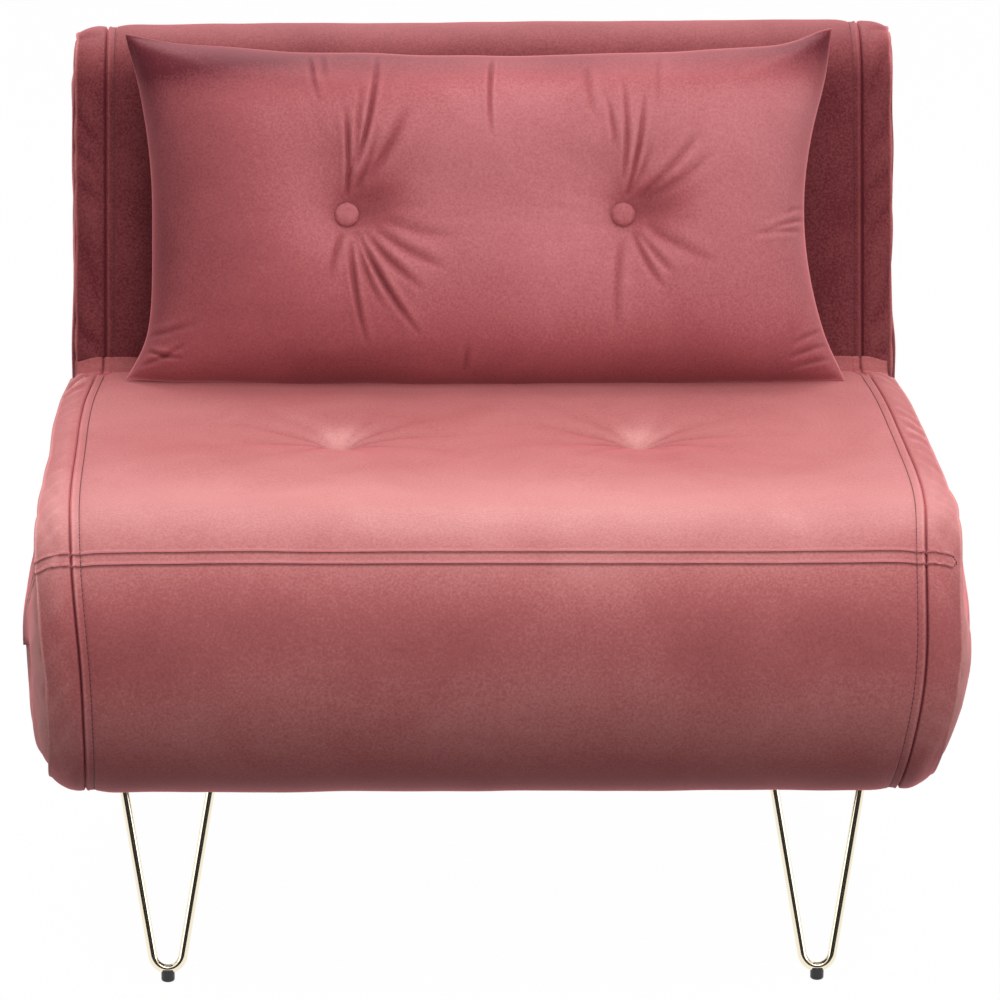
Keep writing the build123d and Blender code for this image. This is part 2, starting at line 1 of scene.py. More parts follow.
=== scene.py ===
import json
from math import asin, cos, pi, radians, sin

import bpy
import numpy as np
from mathutils import Euler, Matrix, Vector, noise


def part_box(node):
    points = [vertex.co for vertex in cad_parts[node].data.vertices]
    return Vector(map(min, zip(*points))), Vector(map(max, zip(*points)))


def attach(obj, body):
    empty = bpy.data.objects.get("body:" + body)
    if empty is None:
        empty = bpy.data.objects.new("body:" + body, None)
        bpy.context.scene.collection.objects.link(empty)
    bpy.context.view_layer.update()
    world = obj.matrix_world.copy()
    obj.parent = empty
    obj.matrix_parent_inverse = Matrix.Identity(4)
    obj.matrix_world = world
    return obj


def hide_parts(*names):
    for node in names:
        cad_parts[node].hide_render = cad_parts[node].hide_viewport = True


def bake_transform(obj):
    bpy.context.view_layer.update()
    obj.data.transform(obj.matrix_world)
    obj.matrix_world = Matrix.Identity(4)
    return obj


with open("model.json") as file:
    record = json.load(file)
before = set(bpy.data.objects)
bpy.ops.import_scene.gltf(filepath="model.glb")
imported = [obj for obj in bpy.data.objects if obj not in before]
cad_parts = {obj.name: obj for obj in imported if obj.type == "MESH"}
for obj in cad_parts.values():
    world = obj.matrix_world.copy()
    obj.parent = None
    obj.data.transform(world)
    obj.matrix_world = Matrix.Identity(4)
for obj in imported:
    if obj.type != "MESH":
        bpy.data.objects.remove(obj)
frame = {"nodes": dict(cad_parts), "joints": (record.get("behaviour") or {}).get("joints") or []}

scene = bpy.context.scene
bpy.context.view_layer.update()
bpy.ops.object.select_all(action="DESELECT")

# Studio: a pale floor that keeps the chair's shadow, in a plain white surround, with soft boxes behind,
# above, in front and at both sides, and dark cards that show only in reflections. The camera has a long lens
# and stands above seat height.


def plain_material(name):
    """A new material, with its nodes, its links and its surface shader."""
    material = bpy.data.materials.new(name)
    material.use_nodes = True
    nodes = material.node_tree.nodes
    return material, nodes, material.node_tree.links, nodes["Principled BSDF"]


def seen_or_mirrored(nodes, links):
    """1 for a ray from the camera, off a gloss or through glass, and 0 for one that only lights."""
    path = nodes.new("ShaderNodeLightPath")
    direct = nodes.new("ShaderNodeMath")
    direct.operation = "MAXIMUM"
    links.new(path.outputs["Is Camera Ray"], direct.inputs[0])
    links.new(path.outputs["Is Glossy Ray"], direct.inputs[1])
    direct_or_through = nodes.new("ShaderNodeMath")
    direct_or_through.operation = "MAXIMUM"
    links.new(direct.outputs[0], direct_or_through.inputs[0])
    links.new(path.outputs["Is Transmission Ray"], direct_or_through.inputs[1])
    return direct_or_through.outputs[0]


bpy.ops.mesh.primitive_plane_add(size=14.0, location=(0.0, 2.0, -0.0005))
floor = bpy.context.object
floor.name = "floor"
floor_paint, nodes, links, paint = plain_material("floor_paint")
paint.inputs["Base Color"].default_value = (0.97, 0.97, 0.97, 1.0)
paint.inputs["Roughness"].default_value = 0.9
paint.inputs["Specular IOR Level"].default_value = 0.1
glow = nodes.new("ShaderNodeEmission")
glow.inputs["Color"].default_value = (1.0, 1.0, 1.0, 1.0)
links.new(seen_or_mirrored(nodes, links), glow.inputs["Strength"])
both = nodes.new("ShaderNodeMixShader")
both.inputs["Fac"].default_value = 0.985
links.new(paint.outputs[0], both.inputs[1])
links.new(glow.outputs[0], both.inputs[2])
links.new(both.outputs[0], nodes["Material Output"].inputs["Surface"])
floor.data.materials.append(floor_paint)

world = bpy.data.worlds.new("studio")
scene.world = world
world.use_nodes = True
nodes = world.node_tree.nodes
links = world.node_tree.links
ambient = nodes["Background"]
ambient.inputs["Color"].default_value = (1.0, 0.99, 0.985, 1.0)
ambient.inputs["Strength"].default_value = 0.42
surround = nodes.new("ShaderNodeBackground")
surround.inputs["Color"].default_value = (1.0, 1.0, 1.0, 1.0)
surround.inputs["Strength"].default_value = 1.0
mixed = nodes.new("ShaderNodeMixShader")
links.new(seen_or_mirrored(nodes, links), mixed.inputs["Fac"])
links.new(ambient.outputs[0], mixed.inputs[1])
links.new(surround.outputs[0], mixed.inputs[2])
links.new(mixed.outputs[0], nodes["World Output"].inputs["Surface"])

for name, spot, size, power in (("rear_box", (0.0, 1.0, 2.3), 1.8, 46.0),
                                ("overhead_box", (0.3, -1.1, 2.6), 2.0, 30.0),
                                ("front_fill", (0.7, -3.6, 1.4), 2.2, 31.5),
                                ("low_fill", (0.0, -3.0, 0.30), 1.6, 7.0),
                                ("side_left", (-2.6, -0.8, 0.7), 1.4, 7.0),
                                ("side_right", (2.6, -0.8, 0.7), 1.4, 13.0)):
    lamp_data = bpy.data.lights.new(name, "AREA")
    lamp_data.shape = "SQUARE"
    lamp_data.size = size
    lamp_data.energy = power
    lamp = bpy.data.objects.new(name, lamp_data)
    lamp.location = spot
    aim = Vector((0.0, 0.05, 0.40)) - Vector(spot)
    lamp.rotation_euler = aim.to_track_quat("-Z", "Y").to_euler()
    scene.collection.objects.link(lamp)

card_black, nodes, links, paint = plain_material("card_black")
paint.inputs["Base Color"].default_value = (0.01, 0.01, 0.01, 1.0)
paint.inputs["Roughness"].default_value = 0.9
for name, spot, size, tip, turn in (("card_front", (-0.05, -1.35, 0.46), (2.9, 0.96), 90.0, 0.0),
                                    ("card_far_left", (-2.6, 1.2, 0.6), (1.3, 2.6), 90.0, 110.0),
                                    ("card_far_right", (2.6, 1.2, 0.6), (1.3, 2.6), 90.0, -110.0)):
    bpy.ops.mesh.primitive_plane_add(size=1.0, location=spot, rotation=(radians(tip), 0.0, radians(turn)))
    card = bpy.context.object
    card.name = name
    card.scale = (*size, 1.0)
    card.data.materials.append(card_black)
    card.visible_camera = False
    card.visible_diffuse = False
    card.visible_shadow = False
    card.visible_transmission = False

camera_data = bpy.data.cameras.new("camera")
camera_data.sensor_width = 36.0
camera_data.lens = 183.9
camera_data.shift_x = 0.045
camera_data.shift_y = -0.030
camera = bpy.data.objects.new("camera", camera_data)
camera.location = (-0.1238, -4.5084, 1.7090)
aimed = Euler((radians(90.0 - 16.293), 0.0, radians(-1.194))).to_matrix()
camera.rotation_euler = (aimed @ Matrix.Rotation(radians(0.247), 3, "Z")).to_euler()
scene.collection.objects.link(camera)
scene.camera = camera
scene.view_settings.view_transform = "Standard"

# Velvet: dense cut pile in dusty rose. It is darker face on than at a glancing angle. Each velvet piece
# carries a value from 0, dark, to 1, light, that is mostly painted light and shade: painted highlights where
# the lamps catch it, painted shade in seam grooves and creases, and sides made lighter or darker by how the
# light falls. The material adds random tone over it.


def centred(nodes, links, level, spread):
    """A texture's level, scaled to run from minus half the spread to plus half of it."""
    scaled = nodes.new("ShaderNodeMath")
    scaled.operation = "MULTIPLY_ADD"
    scaled.inputs[1].default_value = spread
    scaled.inputs[2].default_value = -spread / 2
    links.new(level, scaled.inputs[0])
    return scaled.outputs[0]


def velvet_material(name, dark, middle, light):
    """Velvet that goes from dark through middle to light as its painted light and shade, plus random tone,
    rises.
    """
    material, nodes, links, cloth = plain_material(name)
    place = nodes.new("ShaderNodeTexCoord")
    painted_shading_and_tone = nodes.new("ShaderNodeAttribute")
    painted_shading_and_tone.attribute_name = "painted_shading_and_tone"
    patches = nodes.new("ShaderNodeTexNoise")
    patches.inputs["Scale"].default_value = 9.0
    patches.inputs["Detail"].default_value = 5.0
    patches.inputs["Roughness"].default_value = 0.62
    patches.inputs["Distortion"].default_value = 0.6
    pile = nodes.new("ShaderNodeTexNoise")
    pile.inputs["Scale"].default_value = 460.0
    pile.inputs["Detail"].default_value = 2.0
    for texture in (patches, pile):
        links.new(place.outputs["Object"], texture.inputs["Vector"])
    tone = nodes.new("ShaderNodeMath")
    tone.operation = "ADD"
    links.new(centred(nodes, links, patches.outputs["Fac"], 0.30), tone.inputs[0])
    links.new(centred(nodes, links, pile.outputs["Fac"], 0.38), tone.inputs[1])
    painted_light_and_tone = nodes.new("ShaderNodeMath")
    painted_light_and_tone.operation = "ADD"
    painted_light_and_tone.use_clamp = True
    links.new(tone.outputs[0], painted_light_and_tone.inputs[0])
    links.new(painted_shading_and_tone.outputs["Fac"], painted_light_and_tone.inputs[1])
    colour = nodes.new("ShaderNodeValToRGB")
    colour.color_ramp.elements[0].color = (*dark, 1.0)
    colour.color_ramp.elements[1].color = (*light, 1.0)
    colour.color_ramp.elements.new(0.5).color = (*middle, 1.0)
    links.new(painted_light_and_tone.outputs[0], colour.inputs["Fac"])
    links.new(colour.outputs["Color"], cloth.inputs["Base Color"])
    cloth.inputs["Roughness"].default_value = 0.56
    cloth.inputs["Specular IOR Level"].default_value = 0.16
    cloth.inputs["Specular Tint"].default_value = (1.0, 0.48, 0.47, 1.0)
    cloth.inputs["Sheen Weight"].default_value = 0.92
    cloth.inputs["Sheen Roughness"].default_value = 0.34
    cloth.inputs["Sheen Tint"].default_value = (1.0, 0.31, 0.34, 1.0)
    fibres = nodes.new("ShaderNodeBump")
    fibres.inputs["Strength"].default_value = 0.22
    fibres.inputs["Distance"].default_value = 0.0006
    links.new(pile.outputs["Fac"], fibres.inputs["Height"])
    links.new(fibres.outputs[0], cloth.inputs["Normal"])
    return material


velvet = velvet_material("rose_velvet", (0.104, 0.016, 0.022), (0.352, 0.097, 0.099),
                         (0.60, 0.277, 0.264))
cushion_velvet = velvet_material("rose_velvet_cushion", (0.104, 0.016, 0.024), (0.350, 0.092, 0.102),
                                 (0.63, 0.245, 0.262))


def set_painted_shading(piece, values):
    """Stores each vertex's painted light and shade, 0 dark and 1 light."""
    attribute = piece.data.attributes.new("painted_shading_and_tone", "FLOAT", "POINT")
    attribute.data.foreach_set("value", np.clip(values, 0.0, 1.0).astype(np.float32))


# Padded tubes: the seat and the backrest are both sewn as a wide panel wrapped round the foam, a narrow band
# down each side and a gusset that closes the end. Each starts as an open cylinder along X.


def wrapped_tube(name, grid):
    """A sheet rolled into a tube along X; grid holds its points, one row for each step round the tube."""
    ring, columns = grid.shape[:2]
    bpy.ops.mesh.primitive_grid_add(x_subdivisions=columns - 1, y_subdivisions=ring, size=2.0)
    tube = bpy.context.object
    tube.name = name
    tube.data.vertices.foreach_set("co", np.concatenate([grid, grid[:1]]).astype(np.float32).ravel())
    return tube


def close_tube(tube):
    """Joins the rolled edge and what meets at the two flat ends, then turns the tube's faces outwards."""
    bpy.ops.object.mode_set(mode="EDIT")
    bpy.ops.mesh.select_all(action="SELECT")
    bpy.ops.mesh.remove_doubles(threshold=0.0004)
    bpy.ops.mesh.normals_make_consistent(inside=False)
    bpy.ops.object.mode_set(mode="OBJECT")
    if sum(face.normal.dot(face.center) * face.area for face in tube.data.polygons) < 0.0:
        tube.data.flip_normals()
    bpy.ops.object.shade_smooth()


def grid_normals(grid):
    """Outward normals of a ring by column grid of points."""
    along = np.roll(grid, -1, 0) - np.roll(grid, 1, 0)
    across = np.gradient(grid, axis=1)
    normal = np.cross(along, across)
    length = np.linalg.norm(normal, axis=2, keepdims=True)
    return normal / np.maximum(length, 1e-9)


def drift(a, b, scale, seed):
    """Smooth noise from -1 to 1 over two fabric coordinates in metres."""
    flat = [noise.noise(Vector((u * scale, v * scale, seed))) for u, v in zip(a.ravel(), b.ravel())]
    return np.array(flat).reshape(a.shape)


def folds(phase):
    """Soft rounded folds with narrow valleys, from 0 to 1."""
    return 1.0 - np.abs(np.sin(phase)) ** 0.7


def bell(distance, width):
    """1 at no distance, and fading smoothly to 0 past the width."""
    return np.exp(-(distance / width) ** 2)


def ease(value, low, high):
    """0 up to low and 1 from high, with a smooth step between."""
    t = np.clip((value - low) / (high - low), 0.0, 1.0)
    return t * t * (3.0 - 2.0 * t)


def columns_across(panel_count, band, band_count, gusset_start, gusset, gusset_count):
    """Stations across a cover from end to end, set close together at its seams."""
    half = list(np.linspace(0.0, seam_x - 0.015, panel_count))
    half += [seam_x + offset for offset in close_to_seam]
    half += list(np.linspace(seam_x + 0.010, seam_x + band - 0.004, band_count))
    half += [seam_x + band + offset for offset in close_to_edge]
    half += list(np.linspace(seam_x + band + gusset_start, seam_x + band + gusset, gusset_count))
    return np.array([-u for u in half[:0:-1]] + half)


def rows_around(count, perimeter):
    """Distances round a cover, from minus half to plus half of its perimeter."""
    around = np.arange(count) / count
    return np.where(around > 0.5, around - 1.0, around) * perimeter


def seam_groove(past_seam):
    """Depth of the main seam and of the topstitched row beside it."""
    groove = 0.0030 * bell(past_seam - 0.0003, 0.0010) + 0.0009 * bell(past_seam + topstitch, 0.0010)
    return groove - 0.0008 * bell(past_seam + 0.0022, 0.0012)


# Seat: one thick foam block with a half-round front. Its panel runs over the top, round the front and under,
# and is topstitched beside its seams with the side bands; loose diagonal folds gather in the end gussets.
seat_low, seat_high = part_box("seat_cover")
seat_radius = (seat_high.z - seat_low.z) / 2
seat_middle = (seat_high.z + seat_low.z) / 2
nose_y = seat_low.y + seat_radius
seat_run = seat_high.y - nose_y
seam_x = 0.361
topstitch = 0.0078
padding_drop = 0.0025
padding_puff = 0.0026
close_to_seam = (-0.0125, -0.0105, -0.0094, -0.0086, -0.0078, -0.0070, -0.0062, -0.0050, -0.0038, -0.0027,
                 -0.0019, -0.0013, -0.0008, -0.0004, 0.0, 0.0005, 0.0011, 0.0018, 0.0028, 0.0045, 0.0070)
close_to_edge = (-0.0025, -0.0012, 0.0, 0.0012, 0.0025, 0.005)
band_width = 0.042
gusset_reach = 0.115
seat_stations = columns_across(76, band_width, 9, 0.009, gusset_reach, 27)
around = rows_around(372, pi * seat_radius + 2 * seat_run + 2 * seat_radius)
t, u = np.meshgrid(around, seat_stations, indexing="ij")
away = np.abs(t)
side = np.sign(t)
out = np.abs(u)
hand = np.sign(u)
quarter = pi * seat_radius / 2
at_front = 1.0 - ease(away, quarter * 0.9, quarter + seat_run * 0.9)
band_reach = 0.0225 + 0.0090 * (1.0 - ease(away, 0.10, 0.40))
band_turn = radians(28.0) + radians(22.0) * (1.0 - ease(away, 0.16, 0.42))
band_bend = band_reach / np.sin(band_turn)
band_share = np.clip((out - seam_x) / band_width, 0.0, 1.0)
gusset_share = np.clip((out - seam_x - band_width) / gusset_reach, 0.0, 1.0)
x = np.minimum(out, seam_x) + band_bend * np.sin(band_turn * band_share)
inset = band_bend * (1.0 - np.cos(band_turn * band_share))
sway = 0.0115 * bell(t - 0.27, 0.16) + 0.0050 * bell(t - 0.56, 0.12)
sway += hand * (0.0028 * bell(t - 0.28, 0.14) + 0.0042 * bell(t - 0.015, 0.07)
                - 0.0030 * bell(t + 0.14, 0.05))
x += sway * np.minimum(out / seam_x, 1.0) ** 2
inset += (seat_radius - inset) * gusset_share
radius = seat_radius - inset
turn = np.minimum(away, quarter) / seat_radius
y = nose_y - radius * np.cos(turn)
z = side * radius * np.sin(turn)
flat = (away > quarter) & (away <= quarter + seat_run)
y = np.where(flat, nose_y + (away - quarter) * (seat_run - inset) / seat_run, y)
z = np.where(flat, side * radius, z)
rear = away > quarter + seat_run
y = np.where(rear, nose_y + seat_run - inset, y)
z = np.where(rear, side * radius * (1.0 - (away - quarter - seat_run) / seat_radius), z)
swell = (1.0 - ease(z, 0.010, 0.105)) * (1.0 - ease(-z, 0.074, 0.104)) * (1.0 - ease(y - nose_y, 0.02, 0.26))
gusset_fullness = 0.003
gusset_swell = 0.0110
x += (gusset_fullness + gusset_swell * swell) * (1.0 - (1.0 - gusset_share) ** 6)
corner_softness = 0.016
rounding_passes = 7
corner = np.exp(-((away - quarter - seat_run) / corner_softness) ** 2)
grid = np.stack([hand * x, y, z + seat_middle], 2)
for _ in range(rounding_passes):
    smoothed = (np.roll(grid, 1, 0) + np.roll(grid, -1, 0)) / 2
    grid = grid + (smoothed - grid) * np.minimum(corner, 0.9)[..., None]

spread = 0.022 * bell(t - quarter - 0.60 * seat_run, 0.22 * seat_run + 0.05)
spread -= 0.022 * bell(t + quarter * 0.55, quarter * 0.6)
grid[..., 0] *= 1.0 + spread * (1.0 - gusset_share)
normal = grid_normals(grid)
if np.mean(normal[:, len(seat_stations) // 2, 2] * side[:, 0]) < 0:
    normal = -normal
past_seam = out - seam_x
puff = padding_puff * (1.0 - bell(past_seam + topstitch / 2, 0.012))
edge_line = 0.0013 * bell(past_seam - band_width, 0.0013)
edge_line -= 0.0022 * bell(past_seam - band_width - 0.0036, 0.0018)
slow = 0.0016 * drift(t, u, 7.0, 3.0) + 0.0007 * drift(t, u, 19.0, 8.0)
lift = puff - padding_drop - seam_groove(past_seam) + edge_line + slow * (1.0 - gusset_share)

tie_low, tie_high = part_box("seat_tuft_ties")
tuft_washer_radius = 0.012
tuft_y = (tie_low.y + tie_high.y) / 2
tuft_x = (tie_high.x - tie_low.x) / 2 - tuft_washer_radius
top_side = np.where(grid[..., 2] > seat_middle, 1.0, 0.0)
tuft_painted_light = np.zeros_like(t)
for place in (-tuft_x, tuft_x):
    dx = grid[..., 0] - place
    dy = grid[..., 1] - tuft_y
    reach = np.hypot(dx, dy)
    direction = np.arctan2(dy, dx)
    dish = 0.0110 * np.exp(-(reach / 0.014) ** 1.3) + 0.0085 * np.exp(-np.hypot(dx / 0.062, dy / 0.045) ** 2)
    wander = 0.9 * drift(dx, dy, 14.0, 11.0 + place)
    sideways = np.abs(np.cos(direction)) ** 1.5
    fan = folds(direction * 5.5 + wander) * np.exp(-reach / 0.045) * ease(reach, 0.004, 0.02)
    lift -= top_side * (dish + 0.0040 * fan * (0.35 + sideways))
    # Painted highlight on the far wall of each dish and painted shade along its fans of folds.
    tuft_painted_light += top_side * 0.30 * np.exp(-np.hypot(dx / 0.020, (dy - 0.020) / 0.018) ** 2)
    tuft_painted_light -= top_side * 0.34 * fan * (0.2 + sideways)

band_zone = ease(out, seam_x + 0.004, seam_x + 0.016) * (1.0 - gusset_share)
crimp_phase = t * 82.0 + 3.0 * drift(t, u, 9.0, 21.0) + hand * 1.3 + past_seam * 70.0
crimp = (1.0 - np.abs(np.sin(crimp_phase))) ** 2
crimp_place = bell(away - quarter - seat_run + 0.03, 0.05) + 0.55 * bell(away - 0.43, 0.09) + 0.12 * at_front
patchy = np.clip(0.60 + 1.2 * drift(t, u, 9.0, 24.0), 0.0, 1.0)
crumple = band_zone * np.minimum(crimp_place, 1.0) * patchy * (crimp - 0.25)
lift += 0.0058 * crumple * (1.0 - ease(band_share, 0.45, 0.95))
slack = folds(t * 34.0 - past_seam * 90.0 + 2.0 * drift(t, u, 7.0, 27.0))
lift -= 0.0016 * band_zone * slack * at_front * patchy

gusset_zone = ease(gusset_share, 0.0, 0.05) * (1.0 - ease(gusset_share, 0.72, 1.0))
slant = (grid[..., 2] - seat_middle) * 78.0 + (grid[..., 1] - nose_y) * 52.0
ridges = folds(slant + 2.6 * drift(grid[..., 1], grid[..., 2], 9.0, 31.0) + hand) - 0.35
loose = (0.25 + 0.75 * at_front) * np.exp(-gusset_share / 0.30)
loose *= np.clip(0.75 + 1.1 * drift(grid[..., 1], grid[..., 2], 11.0, 35.0), 0.0, 1.0)
lift += gusset_zone * (0.0014 * loose * ridges + 0.0012 * drift(grid[..., 1], grid[..., 2], 14.0, 41.0))

# The padding fades out towards each gusset's middle line. The cover stays open there, where the upper half
# stands up to 14 mm proud of the lower one. Known fault: with the ends welded, a strip of faces 13 mm wide
# across the front of the seat is left turned inwards, and its two edges show as thin lines.
lift *= 1.0 - ease(gusset_share, 0.55, 0.95)
grid = grid + normal * lift[..., None]
grid[..., 2] = np.maximum(grid[..., 2], seat_low.z - 0.001)

seat_cover = wrapped_tube("seat_cover_velvet", grid)
# Painted light and shade on the seat: a broad painted highlight over the upper curve of the front, a lighter
# lower front, painted shade in each seam groove with painted highlights on its lip and on the band edges,
# lighter gussets and left band, painted highlights and shade on the band wrinkles and gusset folds, and the
# painted tuft shading. Only the drift term is random tone.
painted_light_and_tone = 0.41 + 0.16 * ease(t, 0.02, 0.17) + 0.24 * bell(t - 0.215, 0.085) + 0.07 * ease(t, 0.24, 0.50)
painted_light_and_tone -= 0.08 * bell(t + 0.15, 0.08) + 0.05 * drift(t, u, 5.0, 91.0)
painted_light_and_tone += 0.14 * bell(past_seam + 0.0024, 0.0012) - 0.60 * bell(past_seam - 0.0003, 0.0011)
painted_light_and_tone += 0.45 * bell(past_seam - band_width, 0.0016) + 0.90 * ease(gusset_share, 0.0, 0.08)
painted_light_and_tone = painted_light_and_tone + (0.86 - painted_light_and_tone) * ease(gusset_share, 0.05, 0.5)
painted_light_and_tone += 0.95 * crumple + 0.07 * band_zone * at_front * (hand < 0) + gusset_zone * loose * 1.10 * ridges
painted_light_and_tone += tuft_painted_light + 0.14 * bell(t + 0.020, 0.055) + 0.10 * bell(t + 0.075, 0.055) + 0.05 * bell(t - 0.10, 0.03)
set_painted_shading(seat_cover, np.concatenate([painted_light_and_tone, painted_light_and_tone[:1]]).ravel())
close_tube(seat_cover)
seat_cover.data.materials.append(velvet)
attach(seat_cover, "base")
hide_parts("seat_cover", "seat_wadding", "seat_foam")

# Topstitching: a dark rose polyester thread, sewn by machine 8 mm inside each main seam in stitches of about
# 3 mm that lie in the groove that they pull.


def two_tone(nodes, links, level, first, second):
    """Mixes from the first colour to the second by a texture's level."""
    mix = nodes.new("ShaderNodeMix")
    mix.data_type = "RGBA"
    mix.inputs[6].default_value = (*first, 1.0)
    mix.inputs[7].default_value = (*second, 1.0)
    links.new(level, mix.inputs[0])
    return mix.outputs[2]


thread, nodes, links, yarn = plain_material("rose_thread")
yarn.inputs["Roughness"].default_value = 0.6
place = nodes.new("ShaderNodeTexCoord")
twist = nodes.new("ShaderNodeTexWave")
twist.inputs["Scale"].default_value = 900.0
twist.inputs["Distortion"].default_value = 1.5
links.new(place.outputs["Object"], twist.inputs["Vector"])
tint = two_tone(nodes, links, twist.outputs["Fac"], (0.035, 0.007, 0.009), (0.13, 0.030, 0.036))
links.new(tint, yarn.inputs["Base Color"])


def topstitch_row(name, paths):
    """One row of stitches along each path, a path being points and outward normals in order."""
    stitch_radius = 0.00042
    stitch_length = 0.0031
    pitch = 0.0046
    look_ahead = 0.0015
    proud = 0.0002
    bpy.ops.mesh.primitive_cylinder_add(vertices=6, radius=stitch_radius, depth=stitch_length,
                                        end_fill_type="TRIFAN")
    stitch = bpy.context.object
    shape = np.array([vertex.co for vertex in stitch.data.vertices])
    faces = [np.array(polygon.vertices) for polygon in stitch.data.polygons]
    bpy.data.objects.remove(stitch)
    vertices = []
    polygons = []
    for points, normals in paths:
        steps = np.linalg.norm(np.diff(points, axis=0), axis=1)
        length = np.concatenate([[0.0], np.cumsum(steps)])
        spots = np.arange(pitch / 2, length[-1], pitch)
        at = np.stack([np.interp(spots, length, points[:, i]) for i in range(3)], 1)
        ahead = np.stack([np.interp(spots + look_ahead, length, points[:, i]) for i in range(3)], 1)
        out_of = np.stack([np.interp(spots, length, normals[:, i]) for i in range(3)], 1)
        run = ahead - at
        run /= np.maximum(np.linalg.norm(run, axis=1, keepdims=True), 1e-9)
        cross = np.cross(out_of, run)
        cross /= np.maximum(np.linalg.norm(cross, axis=1, keepdims=True), 1e-9)
        for spot, forward, sideways, lifted in zip(at, run, cross, out_of):
            first = len(vertices) * len(shape)
            frame_axes = np.stack([sideways, lifted, forward])
            vertices.append(shape @ frame_axes + spot + lifted * proud)
            polygons.extend((face + first).tolist() for face in faces)
    mesh = bpy.data.meshes.new(name)
    mesh.from_pydata(np.concatenate(vertices).tolist(), [], polygons)
    row = bpy.data.objects.new(name, mesh)
    scene.collection.objects.link(row)
    mesh.materials.append(thread)
    return row


def seam_paths(grid, normals, stations, around):
    """The two rows of grid points where the topstitching runs, left and right, in order round the cover."""
    paths = []
    rows = np.argsort(around)
    for place in (topstitch - seam_x, seam_x - topstitch):
        column = int(np.argmin(np.abs(stations - place)))
        paths.append((grid[rows, column], normals[rows, column]))
    return paths


seat_threads = topstitch_row("seat_topstitching", seam_paths(grid, normal, seat_stations, around))
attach(seat_threads, "base")

# Tuft ties: a doubled thread pulled down through the foam at two places, ending in a short stitch that holds
# the dish in the seat.
tie_radius = 0.0012
cross_stitch_radius = 0.0009
cross_stitch_length = 0.0090
tie_pieces = []
for place in (-tuft_x, tuft_x):
    gap = np.hypot(grid[..., 0] - place, grid[..., 1] - tuft_y)
    gap = np.where(grid[..., 2] > seat_middle, gap, 1.0)
    bottom = float(grid[..., 2].ravel()[np.argmin(gap)])
    tie_top = bottom - tie_radius
    bpy.ops.mesh.primitive_cylinder_add(vertices=12, radius=tie_radius, depth=tie_top - tie_low.z,
                                        location=(place, tuft_y, (tie_top + tie_low.z) / 2))
    tie_pieces.append(bpy.context.object)
    bpy.ops.mesh.primitive_cylinder_add(vertices=12, radius=cross_stitch_radius, depth=cross_stitch_length,
                                        location=(place, tuft_y, bottom + 0.0008),
                                        rotation=(0.0, pi / 2, 0.0))
    tie_pieces.append(bpy.context.object)
for piece in tie_pieces:
    piece.select_set(True)
bpy.context.view_layer.objects.active = tie_pieces[0]
bpy.ops.object.join()
tuft_ties = bpy.context.object
tuft_ties.name = "seat_tuft_ties_thread"
bpy.ops.object.transform_apply(location=True, rotation=True, scale=True)
tuft_ties.data.materials.append(thread)
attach(tuft_ties, "base")
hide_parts("seat_tuft_ties")

# Backrest: a slab of foam over its frame, rounded at the top and at the pivot, with the same panel and bands
# as the seat. It is shaped upright with the hinge line at the origin, then leaned back about that line.
hinge = next(joint for joint in frame["joints"] if joint["name"] == "backrest_recline")
lift_off = next(joint for joint in frame["joints"] if joint["name"] == "cushion_lift")
lean = asin(lift_off["axis"][2])
pivot = Vector(hinge["pos_m"])
leaned = Matrix.Translation(pivot) @ Matrix.Rotation(-lean, 4, "X")
back_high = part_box("back_cover")[1]
seat_top = seat_high.z
back_radius = seat_top - pivot.z
back_run = (back_high.z - pivot.z - back_radius) / cos(lean)
back_band = 0.033
back_gusset = back_radius
foot_taper = 0.018
top_tilt = 0.0066
sideways_shift = 0.0022
back_stations = columns_across(70, back_band, 8, 0.008, back_gusset, 13)
around = rows_around(244, 2 * pi * back_radius + 2 * back_run)
t, u = np.meshgrid(around, back_stations, indexing="ij")
away = np.abs(t)
side = np.sign(t)
out = np.abs(u)
hand = np.sign(u)
quarter = pi * back_radius / 2
band_share = np.clip((out - seam_x) / back_band, 0.0, 1.0)
gusset_share = np.clip((out - seam_x - back_band) / back_gusset, 0.0, 1.0)
band_bend = 0.040
band_turn = radians(47.0)
x = np.minimum(out, seam_x) + band_bend * np.sin(band_turn * band_share)
inset = band_bend * (1.0 - np.cos(band_turn * band_share)) * 0.6
x += 0.0045 * (1.0 - (1.0 - gusset_share) ** 3)
x *= 1.0 - foot_taper * ease(away, quarter + back_run - 0.02, quarter + back_run + 0.05)
inset += (back_radius - inset) * gusset_share
radius = back_radius - inset
turn = np.minimum(away, quarter) / back_radius
y = -side * radius * np.sin(turn)
z = back_run + radius * np.cos(turn)
flat = (away > quarter) & (away <= quarter + back_run)
y = np.where(flat, -side * radius, y)
z = np.where(flat, back_run - (away - quarter), z)
low_turn = np.clip(away - quarter - back_run, 0.0, quarter) / back_radius
foot = away > quarter + back_run
y = np.where(foot, -side * radius * np.cos(low_turn), y)
z = np.where(foot, -radius * np.sin(low_turn), z)
grid = np.stack([hand * x, y, z], 2)
normal = grid_normals(grid)
if np.mean(normal[:, len(back_stations) // 2, 1] * -side[:, 0]) < 0:
    normal = -normal
past_seam = out - seam_x
puff = padding_puff * (1.0 - bell(past_seam + topstitch / 2, 0.011))
edge_line = 0.0012 * bell(past_seam - back_band, 0.0013)
edge_line -= 0.0016 * bell(past_seam - back_band - 0.004, 0.002)
slow = 0.0012 * drift(t, u, 8.0, 53.0) + 0.0006 * drift(t, u, 21.0, 58.0)
band_zone = ease(out, seam_x + 0.003, seam_x + 0.012) * (1.0 - ease(gusset_share, 0.0, 0.3))
crimp = folds(t * 62.0 + 4.0 * drift(t, u, 11.0, 61.0) + hand * 2.1 + past_seam * 75.0)
